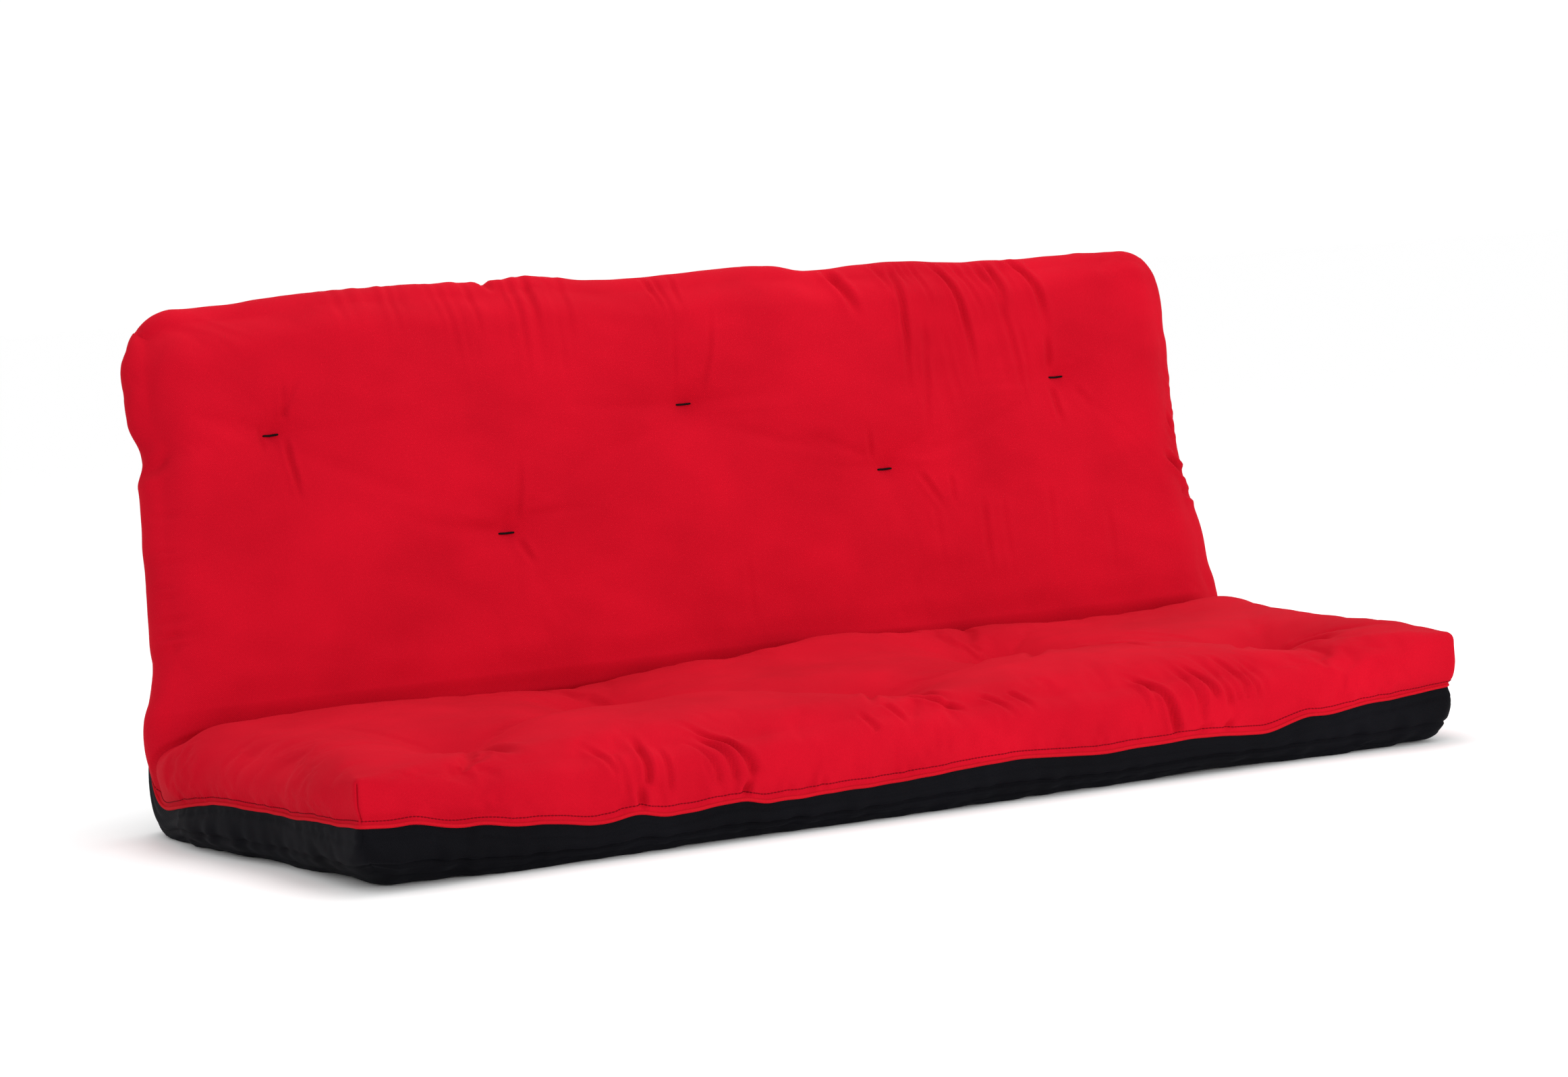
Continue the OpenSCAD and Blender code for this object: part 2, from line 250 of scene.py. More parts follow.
# Creases of the red cover: depth and half width in mm, then sheet places from the strong end to the faint one
CREASES = [
    # seat: from the tufts
    (6, 14, (-0.70, -0.46), (-0.70, -0.55), (-0.66, -0.62)),
    (4, 10, (0.00, -0.48), (0.01, -0.57), (0.06, -0.61)),
    (3, 7, (-0.02, -0.58), (0.04, -0.62), (0.07, -0.68)),
    (3, 8, (-0.01, -0.50), (-0.08, -0.56), (-0.09, -0.62)),
    (2, 6, (-0.07, -0.61), (-0.05, -0.65), (-0.04, -0.70)),
    (4, 12, (0.74, -0.47), (0.78, -0.52), (0.79, -0.58)),
    (3, 9, (0.70, -0.47), (0.63, -0.50), (0.61, -0.57)),
    # seat: sweeping over the front edge
    (2, 6, (-0.53, -0.71), (-0.54, -0.66), (-0.57, -0.60)),
    (4, 6, (-0.485, -0.73), (-0.48, -0.67), (-0.49, -0.60)),
    (5, 7, (-0.50, -0.775), (-0.50, -0.75), (-0.495, -0.72)),
    (2, 5, (-0.45, -0.74), (-0.45, -0.70), (-0.46, -0.64)),
    (4, 7, (-0.31, -0.735), (-0.32, -0.66), (-0.42, -0.58)),
    (3, 6, (-0.34, -0.74), (-0.35, -0.67), (-0.40, -0.62)),
    (2, 5, (-0.37, -0.74), (-0.37, -0.69), (-0.42, -0.64)),
    (5, 6, (-0.335, -0.77), (-0.33, -0.75), (-0.31, -0.735)),
    (2, 6, (-0.10, -0.69), (-0.11, -0.66), (-0.12, -0.62)),
    (2, 6, (0.10, -0.62), (0.13, -0.65), (0.145, -0.71)),
    (2, 6, (0.15, -0.62), (0.17, -0.65), (0.18, -0.70)),
    (5, 7, (0.43, -0.76), (0.42, -0.67), (0.36, -0.60)),
    (3, 6, (0.40, -0.70), (0.40, -0.66), (0.37, -0.62)),
    (2, 7, (0.48, -0.75), (0.475, -0.67), (0.44, -0.57)),
    (3, 5, (0.505, -0.71), (0.50, -0.66), (0.46, -0.59)),
    (2, 7, (0.53, -0.73), (0.53, -0.65), (0.49, -0.56)),
    (2, 5, (0.565, -0.70), (0.56, -0.64), (0.52, -0.57)),
    (1, 6, (0.60, -0.71), (0.60, -0.65), (0.56, -0.57)),
    (4, 6, (0.45, -0.77), (0.47, -0.755), (0.50, -0.75)),
    (3, 5, (0.51, -0.77), (0.52, -0.75), (0.54, -0.745)),
    # seat: top, towards the crease
    (3, 12, (0.40, -0.30), (0.34, -0.40), (0.26, -0.50)),
    (2, 10, (0.62, -0.42), (0.54, -0.36), (0.44, -0.32)),
    (2, 9, (0.46, -0.30), (0.50, -0.42), (0.48, -0.52)),
    # back: at the tufts
    (3, 5, (-0.715, 0.430), (-0.705, 0.39), (-0.70, 0.31)),
    (2, 5, (-0.715, 0.450), (-0.70, 0.48), (-0.672, 0.52)),
    (2, 5, (-0.712, 0.455), (-0.705, 0.48), (-0.70, 0.52)),
    (2, 5, (-0.752, 0.450), (-0.755, 0.43), (-0.75, 0.40)),
    (2, 6, (-0.340, 0.262), (-0.33, 0.31), (-0.315, 0.38)),
    (2, 6, (-0.340, 0.240), (-0.33, 0.22), (-0.32, 0.19)),
    (1, 9, (-0.370, 0.255), (-0.40, 0.26), (-0.44, 0.265)),
    (2, 5, (0.022, 0.445), (0.06, 0.50), (0.07, 0.61)),
    (1, 5, (-0.020, 0.440), (-0.015, 0.50), (0.00, 0.60)),
    (2, 5, (0.330, 0.310), (0.325, 0.34), (0.325, 0.38)),
    (3, 6, (0.700, 0.445), (0.70, 0.48), (0.70, 0.52)),
    (3, 6, (0.702, 0.425), (0.70, 0.39), (0.705, 0.34)),
    (1, 8, (0.735, 0.420), (0.76, 0.39), (0.77, 0.36)),
    # back: hanging from the top edge
    (6, 9, (0.315, 0.70), (0.335, 0.62), (0.345, 0.55)),
    (3, 6, (0.405, 0.70), (0.42, 0.64), (0.425, 0.58)),
    (4, 6, (0.435, 0.70), (0.44, 0.55), (0.41, 0.40)),
    (2, 5, (0.475, 0.70), (0.49, 0.62), (0.49, 0.56)),
    (5, 6, (0.515, 0.70), (0.56, 0.60), (0.55, 0.41)),
    (2, 6, (0.470, 0.56), (0.46, 0.46), (0.43, 0.33)),
    (2, 5, (0.560, 0.70), (0.575, 0.63), (0.59, 0.52)),
    (5, 6, (0.625, 0.70), (0.64, 0.62), (0.625, 0.53)),
    (2, 6, (0.600, 0.70), (0.63, 0.55), (0.645, 0.35)),
    (5, 7, (0.670, 0.71), (0.705, 0.62), (0.702, 0.50)),
    (2, 5, (-0.030, 0.70), (-0.02, 0.64), (-0.015, 0.57)),
    (2, 5, (-0.010, 0.70), (-0.005, 0.64), (-0.005, 0.56)),
    (2, 5, (0.020, 0.70), (0.02, 0.64), (0.015, 0.58)),
    (4, 10, (-0.310, 0.72), (-0.31, 0.70), (-0.30, 0.66)),
    # back: lower right
    (2, 6, (0.410, 0.290), (0.43, 0.26), (0.45, 0.21)),
    (2, 5, (0.470, 0.280), (0.47, 0.25), (0.465, 0.22)),
    (1, 6, (0.430, 0.240), (0.43, 0.17), (0.42, 0.10)),
    (2, 6, (0.525, 0.240), (0.515, 0.16), (0.51, 0.08)),
    (1, 6, (0.560, 0.240), (0.555, 0.16), (0.55, 0.07)),
    (1, 6, (0.655, 0.260), (0.65, 0.17), (0.625, 0.07)),
    (1, 7, (0.760, 0.210), (0.755, 0.13), (0.74, 0.05)),
    (1, 7, (0.060, 0.180), (0.055, 0.12), (0.05, 0.04)),
    # back: pinched ends
    (7, 8, (0.985, 0.245), (0.94, 0.25), (0.89, 0.29)),
    (3, 7, (0.985, 0.300), (0.95, 0.32), (0.92, 0.37)),
    (4, 8, (0.990, 0.205), (0.96, 0.21), (0.93, 0.215)),
    (3, 12, (-1.00, 0.405), (-0.96, 0.41), (-0.92, 0.42)),
]


def bundle(count, start, end, depth, half_width, seed):
    """Fine creases side by side: start and end give the range of each end, ((u, u), w) or (u, (w, w))."""
    rng = np.random.default_rng(seed)
    out = []
    for _ in range(count):
        t = rng.uniform()
        a, b = ([v[0] + t * (v[1] - v[0]) if isinstance(v, tuple) else v for v in span]
                for span in (start, end))
        reach = rng.uniform(0.5, 1.0)
        b = [a[0] + reach * (b[0] - a[0]), a[1] + reach * (b[1] - a[1])]
        middle = [(a[i] + b[i]) / 2 + rng.uniform(-0.006, 0.006) for i in (0, 1)]
        out.append((depth * rng.uniform(0.4, 1.0), half_width * rng.uniform(0.8, 1.3), a, middle, b))
    return out


# Bundles of fine creases: count, range of the strong ends, range of the faint ends, depth, half width, seed
BUNDLES = [
    # back: from the top edge
    (16, ((-0.48, -0.18), 0.72), ((-0.46, -0.20), 0.40), 1.5, 7, 21),
    (10, ((-0.62, -0.46), 0.72), ((-0.61, -0.47), 0.54), 1.1, 8, 22),
    (8, ((0.40, 0.70), 0.70), ((0.42, 0.70), 0.56), 2.0, 5, 23),
    (12, ((0.42, 0.68), 0.54), ((0.43, 0.70), 0.30), 0.9, 6, 24),
    # back: from the left and the right end
    (12, (-0.99, (0.08, 0.34)), (-0.87, (0.08, 0.33)), 1.4, 5, 25),
    (8, (0.99, (0.22, 0.42)), (0.90, (0.27, 0.46)), 0.8, 6, 26),
    # seat: over the front edge
    (9, ((0.38, 0.62), -0.72), ((0.36, 0.60), -0.60), 1.6, 4, 27),
    (7, ((-0.54, -0.28), -0.74), ((-0.55, -0.33), -0.61), 1.4, 4, 28),
    # seat: puckers above the welt, along the front and both ends
    (46, ((-0.94, 0.94), -0.78), ((-0.94, 0.94), -0.735), 1.5, 6, 29),
    (14, (-1.06, (-0.62, -0.10)), (-1.01, (-0.62, -0.10)), 1.8, 6, 30),
    (14, (1.06, (-0.62, -0.10)), (1.00, (-0.62, -0.10)), 1.8, 6, 31),
]
for numbers in BUNDLES:
    CREASES += bundle(*numbers)


def crease_relief(u, w):
    """Creases in the cover: narrow valleys with a low shoulder on each side."""
    out = np.zeros_like(u)
    for depth, half_width, a, b, c in CREASES:
        size = half_width / 1000
        ends = np.array([a, b, c])
        low, high = ends.min(0) - 4 * size, ends.max(0) + 4 * size
        near = np.nonzero((u > low[0]) & (u < high[0]) & (w > low[1]) & (w < high[1]))[0]
        if len(near) == 0:
            continue
        t = np.linspace(0, 1, 13)[:, None]
        line = (1 - t) ** 2 * ends[0] + 2 * t * (1 - t) * ends[1] + t * t * ends[2]
        gap, place = np.full(len(near), 9.0), np.zeros(len(near))
        for k in range(len(line) - 1):
            g, v = along(u[near], w[near], line[k], line[k + 1])
            closer = g < gap
            gap[closer] = g[closer]
            place[closer] = (k + v[closer]) / (len(line) - 1)
        gain, rise = SEAT_CREASES if a[1] < 0 else BACK_CREASES
        strength = gain * depth / 1000 * smooth(place / rise) * smooth((1 - place) / 0.45)
        r = gap / size
        out[near] += strength * (r * r - 1) * np.exp(-r * r / 2)
    return out


SEAT_VALLEYS = neighbours(SEAT_TUFTS, 0.50)
BACK_VALLEYS = neighbours(BACK_TUFTS, 0.50)


def round_lip(gap, depth, width):
    """Quarter-round fall of a surface towards a line that is a gap away."""
    return depth * (1 - np.sqrt(1 - (1 - np.clip(gap / width, 0, 1)) ** 2))


def relief(u, w, creased=True):
    """Outward relief of the red cover at sheet places."""
    sunk = np.zeros_like(u)
    for tufts, valleys, (depth, spread, furrow) in ((SEAT_TUFTS, SEAT_VALLEYS, SEAT_PADDING),
                                                    (BACK_TUFTS, BACK_VALLEYS, BACK_PADDING)):
        for place in tufts:
            sunk += tuft_dimple(u, w, place, depth, spread) ** 2
        for a, b in valleys:
            sunk += valley(u, w, a, b, furrow, VALLEY_WIDTH) ** 2
    inside = smooth((HALF_L - np.abs(u)) / 0.25) * smooth(np.where(w < 0, SEAT_D + w, BACK_H - w) / 0.2)
    crown = 0.006 * inside - 0.010 * smooth((-w - 0.50) / 0.16)
    tuck = np.where(w < 0, round_lip(-w, *SEAT_TUCK), round_lip(w, *BACK_TUCK))
    tuck = tuck * (1 - 0.5 * smooth((np.abs(u) - 0.86) / 0.09))
    crest = curve_through(CREST_X, CREST, u) * bell((w + 0.09) / 0.08)
    rough = 0.0016 * soft_noise(u, w, 0.30, 3) + 0.0004 * soft_noise(u, w, 0.07, 5)
    right_end = (0.008 + 0.008 * smooth((-w - 0.38) / 0.2)) * smooth((u - 0.70) / 0.2) * smooth(-w / 0.1)
    padded = crown + crest + rough + right_end - np.sqrt(sunk) - tuck
    return padded + crease_relief(u, w) if creased else padded


# ---- Meshes ----

def stations():
    """Grid lines along x and across the fold, close together where the fold bends."""
    seam = np.linspace(0.002, SEAM_ZONE, 6) - 0.002
    xs = np.linspace(SEAM_ZONE - HALF_L, HALF_L - SEAM_ZONE, 2 * round(HALF_L / STEP) + 1)
    xs = np.concatenate([seam[:-1] - HALF_L, xs, HALF_L - seam[-2::-1]])
    bend = np.linspace(-BEND_ZONE, BEND_ZONE, 2 * round(BEND_ZONE / (0.4 * STEP)) + 1)
    seat = np.linspace(-SEAT_D, -BEND_ZONE, round((SEAT_D - BEND_ZONE) / STEP) + 1)[:-1]
    back = np.linspace(BEND_ZONE, BACK_H, round((BACK_H - BEND_ZONE) / STEP) + 1)[1:]
    seat = np.concatenate([seam - SEAT_D, seat[seat > SEAM_ZONE + 0.0005 - SEAT_D]])
    return xs, np.concatenate([seat, bend, back])


XS, SS = stations()


def grid_faces(rows, columns, flip=False):
    """Faces of a grid whose points are numbered row by row."""
    i, j = np.meshgrid(np.arange(rows - 1), np.arange(columns - 1), indexing="ij")
    a = (i * columns + j).ravel()
    quads = np.stack([a, a + 1, a + columns + 1, a + columns], -1)
    return quads[:, ::-1] if flip else quads


def boundary():
    """The grid's edge in order round the mattress: indices into it, and x and s."""
    nx, ns = len(XS), len(SS)
    front = [(i, 0) for i in range(nx - 1)]
    right = [(nx - 1, j) for j in range(ns - 1)]
    top = [(i, ns - 1) for i in range(nx - 1, 0, -1)]
    left = [(0, j) for j in range(ns - 1, 0, -1)]
    ij = np.array(front + right + top + left)
    return ij[:, 0] * ns + ij[:, 1], XS[ij[:, 0]], SS[ij[:, 1]]


LOOP, LOOP_X, LOOP_S = boundary()
ON_END = np.isclose(np.abs(LOOP_X), HALF_L)


def sheet_places(x, s, drop):
    """Sheet places of wall points that lie a drop below an edge."""
    u = np.where(ON_END, np.sign(x) * (HALF_L + drop), x)
    w = np.where(ON_END, s, np.where(s < 0, -SEAT_D - drop, BACK_H + drop))
    return u, w


def new_mesh(name, points, faces, material, uv=None):
    """Smooth-shaded object in the scene; uv is its sheet places in metres, one for each point."""
    mesh = bpy.data.meshes.new(name)
    mesh.from_pydata(points.tolist(), [], faces.tolist())
    mesh.polygons.foreach_set("use_smooth", np.ones(len(faces), bool))
    if uv is not None:
        layer = mesh.uv_layers.new(name="Sheet")
        layer.data.foreach_set("uv", uv[faces.ravel()].astype(np.float32).ravel())
    mesh.materials.append(material)
    mesh.update()
    obj = bpy.data.objects.new(name, mesh)
    bpy.context.scene.collection.objects.link(obj)
    return obj


def skirt_faces(edge, start, rings, flip):
    """Faces of a wall: edge lists the face's own edge, and the points of further rings follow from start."""
    count = len(edge)
    out = []
    ring = edge
    for k in range(rings):
        next_ring = start + k * count + np.arange(count)
        quad = np.stack([ring, np.roll(ring, -1), np.roll(next_ring, -1), next_ring], -1)
        out.append(quad[:, ::-1] if flip else quad)
        ring = next_ring
    return np.concatenate(out)


def welt_height():
    """Height of the welt round the mattress: it sags along the seat's front and at the fold's left end."""
    front = (~ON_END) & (LOOP_S < 0)
    sag_at = np.array([-0.95, -0.87, -0.77, -0.67, -0.56, -0.51, -0.45, -0.34, -0.29, -0.06,
                       0.12, 0.30, 0.49, 0.58, 0.68, 0.82, 0.95])
    sag = np.array([10, 7, -6, -17, -29, -23, -31, -25, -32, -27,
                    -18, -27, -24, -31, -14, -4, 6]) / 1000
    to_front = smooth((-LOOP_S - 0.35) / 0.3)
    left_end = 0.010 * to_front - 0.032 * bell((LOOP_S - 0.05) / 0.15)
    ends = np.where(LOOP_X < 0, left_end, 0.006 * to_front)
    ripple = 0.0006 * soft_noise(LOOP_X, LOOP_S, 0.12, 11, 8)
    ripple += 0.0003 * soft_noise(LOOP_X, LOOP_S, 0.05, 12, 8)
    return WELT_H + np.where(front, curve_through(sag_at, sag, LOOP_X), ends) + ripple


WELT_LINE = welt_height()


def edge_bulge(drop, x, s):
    """Fullness of the red wall, running softly on into the face; drop is the way down from the edge."""
    corner = bell(np.maximum(HALF_L - np.abs(x), SEAT_D + s) / 0.12)
    return BULGE * (1 - corner) * bell((drop - BULGE_DROP) / BULGE_WIDTH)


def face_drop(x, s):
    """The same measure on the face: minus the distance to the nearest free edge, eased at the corners."""
    to_end = np.maximum(HALF_L - np.abs(x), 1e-4)
    to_edge = np.maximum(np.where(s < 0, SEAT_D + s, BACK_H - s), 1e-4)
    return -(to_end ** -4.0 + to_edge ** -4.0) ** -0.25


def wall_relief(x, s, h):
    """Outward relief of the walls: full between the edges and the welt, which holds them in."""
    above = edge_bulge(THICK - h, x, s) * smooth((h - WELT_LINE) / 0.03)
    below = 0.005 * np.sin(np.pi * np.clip((WELT_LINE - h) / WELT_LINE, 0, 1)) ** 2
    return above + below - 0.005 * bell((h - WELT_LINE) / 0.012)


def band_relief(x, s, h):
    """The black wall: a sewn groove low down with puckers along it, and a slack fold under the welt."""
    along_wall = np.where(ON_END, s, x)
    groove = 0.38 * WELT_LINE + 0.002 * soft_noise(along_wall, along_wall * 0, 0.4, 15, 6)
    fold_line = WELT_LINE - 0.016 - 0.004 * soft_noise(along_wall, along_wall * 0, 0.5, 16, 6)
    pucker = 0.0011 * soft_noise(along_wall, 0.3 * h, 0.045, 17, 12) * bell((h - groove) / 0.02)
    depth = 0.0045 + 0.0030 * smooth((HALF_L - np.abs(x) - 0.02) / 0.1)
    return pucker - depth * bell((h - groove) / GROOVE_WIDTH) - 0.0025 * bell((h - fold_line) / 0.004)


def under_relief(x, s):
    """Inward relief of the black face."""
    dimples = sum(tuft_dimple(x, s, place, *UNDER_PADDING) for place in SEAT_TUFTS + BACK_TUFTS)
    return dimples + 0.0018 * soft_noise(x, s, 0.22, 18) + 0.0006 * soft_noise(x, s, 0.06, 19)


def corner_seam(x, s, h):
    """Dart seam down each front corner of the red wall."""
    gap = np.maximum(HALF_L - np.abs(x), SEAT_D + s)
    return -0.0030 * bell(gap / 0.0045) * smooth((THICK - h) / 0.02)


def cover_points(upper, creased=True):
    """Half of the casing as points: its face, then the rings of its wall from the edge to the welt."""
    edge_h = THICK if upper else 0.0
    x, s = (a.ravel() for a in np.meshgrid(XS, SS, indexing="ij"))
    p, n = rounded(x, s, np.full_like(x, edge_h))
    out = relief(x, s, creased) + edge_bulge(face_drop(x, s), x, s) if upper else -under_relief(x, s)
    p += out[:, None] * n
    points, sheet = [p], [np.stack([x, s], -1)]
    rings = UPPER_RINGS if upper else LOWER_RINGS
    for k in range(1, rings + 1):
        h = edge_h + (WELT_LINE - edge_h) * k / rings
        u, w = sheet_places(LOOP_X, LOOP_S, np.abs(h - edge_h))
        q, m = rounded(LOOP_X, LOOP_S, h)
        if upper:
            detail = relief(u, w, creased) + corner_seam(LOOP_X, LOOP_S, h)
        else:
            detail = band_relief(LOOP_X, LOOP_S, h)
        bulge = wall_relief(LOOP_X, LOOP_S, h) + detail * smooth((rings - k) / 3)
        points.append(q + bulge[:, None] * m)
        sheet.append(np.stack([u, w], -1))
    return fold(np.concatenate(points)), np.concatenate(sheet)


def cubic_weights(at, count, closed):
    """Indices and weights for smooth interpolation between evenly numbered samples."""
    base = np.floor(at).astype(int)
    if not closed:
        base = np.clip(base, 0, count - 2)
    f = (at - base)[:, None]
    weights = np.concatenate([-f ** 3 + 2 * f ** 2 - f,
                              3 * f ** 3 - 5 * f ** 2 + 2,
                              -3 * f ** 3 + 4 * f ** 2 + f,
                              f ** 3 - f ** 2], 1) / 2
    index = base[:, None] + np.arange(-1, 3)
    index = index % count if closed else np.clip(index, 0, count - 1)
    return index, weights


def interpolated(samples, at, closed=False):
    """Samples along their first axis, read smoothly between them."""
    index, weights = cubic_weights(at, len(samples), closed)
    return sum(weights[:, k].reshape(-1, *[1] * (samples.ndim - 1)) * samples[index[:, k]] for k in range(4))


def coarse_stations(values, spacing):
    """Indices of stations about a spacing apart, the two ends included."""
    wanted = np.linspace(values[0], values[-1], round((values[-1] - values[0]) / spacing) + 1)
    return np.unique([np.argmin(np.abs(values - v)) for v in wanted])


def kept_movement(x, s, upper):
    """Share of the simulated movement that is kept.

    It is little at the seat's sewn front corners and at the red crease, and nothing where the seat rests.
    """
    keep = 1 - 0.9 * bell(np.hypot(HALF_L - np.abs(x), SEAT_D + s) / 0.10)
    if upper:
        return keep * smooth((np.abs(s) - 0.015) / 0.06) * (1 - 0.5 * smooth(s / 0.10))
    inside = np.minimum(HALF_L - np.abs(x), SEAT_D + s)
    resting = smooth(inside / 0.08) * smooth((0.02 - s) / 0.04)
    return UNDER_SHARE * keep * (1 - resting)


def simulated(start, faces, held, taut):
    """Movement of each point of a cover in a cloth simulation under the filling's pressure."""
    cloth = new_mesh("settling_cover", start, faces, RED)
    group = cloth.vertex_groups.new(name="held")
    group.add(np.nonzero(held)[0].tolist(), 1.0, "REPLACE")
    group = cloth.vertex_groups.new(name="taut")
    for level in np.unique(taut.round(2)):
        group.add(np.nonzero(taut.round(2) == level)[0].tolist(), float(level), "REPLACE")
    modifier = cloth.modifiers.new("settle", "CLOTH")
    setting = modifier.settings
    setting.vertex_group_mass = "held"
    setting.vertex_group_shrink = "taut"
    setting.shrink_min, setting.shrink_max = CLOTH_GROWTH
    setting.quality = 6
    setting.mass = 0.3
    setting.tension_stiffness = 12
    setting.compression_stiffness = 12
    setting.shear_stiffness = 4
    setting.bending_stiffness = 0.05
    setting.use_pressure = True
    setting.uniform_pressure_force = CLOTH_PRESSURE
    setting.effector_weights.gravity = 0
    scene = bpy.context.scene
    scene.frame_start, scene.frame_end = 1, CLOTH_FRAMES
    modifier.point_cache.frame_start, modifier.point_cache.frame_end = 1, CLOTH_FRAMES
    for number in range(1, CLOTH_FRAMES + 1):
        scene.frame_set(number)
    shape = cloth.evaluated_get(bpy.context.evaluated_depsgraph_get()).data
    end = np.empty(len(start) * 3)
    shape.vertices.foreach_get("co", end)
    scene.frame_set(1)
    bpy.data.objects.remove(cloth)
    return end.reshape(-1, 3) - start


def read_between(samples, at_first, at_second, closed=False):
    """A grid's samples read smoothly between them along both of its axes; the second axis may be closed."""
    along_first = interpolated(samples, at_first).transpose(1, 0, 2)
    return interpolated(along_first, at_second, closed).transpose(1, 0, 2)


def settled(points, upper):
    """Movement of a cover as its filling presses it out against its seams, its tufts and the crease.

    The simulation runs on a coarse copy, and its movement is then read at every point of the cover.
    """
    nx, ns, count = len(XS), len(SS), len(LOOP)
    ring_count = UPPER_RINGS if upper else LOWER_RINGS
    # the grid lines, wall rings and points of the edge that the coarse copy takes
    pick_x, pick_s = coarse_stations(XS, CLOTH_STEP), coarse_stations(SS, CLOTH_STEP)
    wanted_rings = np.linspace(0, ring_count, round(WELT_H / CLOTH_STEP) + 1)
    pick_ring = np.unique(wanted_rings.round().astype(int))
    pick_loop = np.nonzero(np.isin(LOOP // ns, pick_x) & np.isin(LOOP % ns, pick_s))[0]
    edge_x = np.searchsorted(pick_x, LOOP[pick_loop] // ns)
    edge_s = np.searchsorted(pick_s, LOOP[pick_loop] % ns)
    edge = edge_x * len(pick_s) + edge_s

    face = points[:nx * ns].reshape(nx, ns, 3)[np.ix_(pick_x, pick_s)].reshape(-1, 3)
    rings = points[nx * ns:].reshape(ring_count, count, 3)
    rings = rings[np.ix_(pick_ring[1:] - 1, pick_loop)].reshape(-1, 3)
    start = np.concatenate([face, rings])
    faces = np.concatenate([grid_faces(len(pick_x), len(pick_s), flip=upper),
                            skirt_faces(edge, len(face), len(pick_ring) - 1, flip=upper)])

    # it is held at the tufts, along the red crease and at the welt, and the back's cloth is the tauter
    x, s = (a.ravel() for a in np.meshgrid(XS[pick_x], SS[pick_s], indexing="ij"))
    held = np.zeros(len(start), bool)
    for place in SEAT_TUFTS + BACK_TUFTS:
        held[:len(face)] |= np.hypot(x - place[0], s - place[1]) < 1.2 * CLOTH_STEP
    if upper:
        held[:len(face)] |= np.abs(s) < 0.012
    held[-len(pick_loop):] = True
    taut = smooth((np.concatenate([s, np.tile(LOOP_S[pick_loop], len(pick_ring) - 1)]) + 0.03) / 0.06)
    moved = simulated(start, faces, held, taut)
    moved /= 1 + np.linalg.norm(moved, axis=1, keepdims=True) / CLOTH_CAP

    at_x = np.interp(XS, XS[pick_x], np.arange(len(pick_x)))
    at_s = np.interp(SS, SS[pick_s], np.arange(len(pick_s)))
    moved_face = moved[:len(face)].reshape(len(pick_x), len(pick_s), 3)
    on_face = read_between(moved_face, at_x, at_s).reshape(-1, 3)
    at_ring = np.interp(np.arange(ring_count + 1), pick_ring, np.arange(len(pick_ring)))
    at_loop = np.interp(np.arange(count), np.append(pick_loop, count), np.arange(len(pick_loop) + 1))
    moved_walls = np.concatenate([moved[edge], moved[len(face):]]).reshape(len(pick_ring), len(pick_loop), 3)
    on_walls = read_between(moved_walls, at_ring, at_loop, closed=True)
    fade = (1 - np.arange(ring_count + 1) / ring_count)[:, None, None] ** 2
    on_walls = on_walls + (on_face[LOOP] - on_walls[0]) * fade

    x, s = (a.ravel() for a in np.meshgrid(XS, SS, indexing="ij"))
    on_face *= kept_movement(x, s, upper)[:, None]
    on_walls *= kept_movement(LOOP_X, LOOP_S, upper)[None, :, None]
    return np.concatenate([on_face, on_walls[1:].reshape(-1, 3)])


def cover_mesh(name, points, sheet, upper, material):
    """One half of the casing as an object."""
    rings = UPPER_RINGS if upper else LOWER_RINGS
    faces = np.concatenate([grid_faces(len(XS), len(SS), flip=upper),
                            skirt_faces(LOOP, len(XS) * len(SS), rings, flip=upper)])
    return new_mesh(name, points, faces, material, sheet)


def tube_frames(points, closed):
    """Two directions across a line at each of its points, carried along it without twist."""
    if closed:
        tangent = np.roll(points, -1, 0) - np.roll(points, 1, 0)
    else:
        tangent = np.gradient(points, axis=0)
    tangent /= np.linalg.norm(tangent, axis=1, keepdims=True)
    side = np.zeros_like(points)
    v = np.cross(tangent[0], [0.3, 0.2, 0.9])
    for i, t in enumerate(tangent):
        v = v - (v @ t) * t
        v /= np.linalg.norm(v)
        side[i] = v
    return side, np.cross(tangent, side)


def tube(points, radius, sides, closed):
    """Vertices and faces of a round tube along points; radius may change along it."""
    count = len(points)
    side, other = tube_frames(points, closed)
    a = np.arange(sides) * 2 * np.pi / sides
    ring = np.cos(a)[None, :, None] * side[:, None] + np.sin(a)[None, :, None] * other[:, None]
    radius = np.broadcast_to(radius, (count,))[:, None, None]
    verts = (points[:, None] + radius * ring).reshape(-1, 3)
    turn = 0
    if closed:  # the frame has turned a little by the time it meets its start
        last = (count - 1) * sides
        turn = int(np.argmin(np.linalg.norm(verts[:sides] - verts[last], axis=1)))
    i = np.arange(count if closed else count - 1)[:, None]
    k = np.arange(sides)[None, :]
    j = (i + 1) % count
    shift = turn * (j == 0) * closed
    faces = np.stack([i * sides + k, i * sides + (k + 1) % sides, j * sides + (k + 1 + shift) % sides,
                      j * sides + (k + shift) % sides], -1)
    return verts, faces.reshape(-1, 4)


def resampled(points, step):
    """A closed line's points at even steps along it."""
    ring = np.concatenate([points, points[:1]])
    length = np.concatenate([[0], np.cumsum(np.linalg.norm(np.diff(ring, axis=0), axis=1))])
    at = np.linspace(0, length[-1], int(length[-1] / step), endpoint=False)
    return np.stack([np.interp(at, length, ring[:, i]) for i in range(3)], -1)


def joined(shapes):
    """Several (vertices, faces) as one."""
    verts, faces, count = [], [], 0
    for v, f in shapes:
        verts.append(v)
        faces.append(f + count)
        count += len(v)
    return np.concatenate(verts), np.concatenate(faces)


# ---- Materials ----

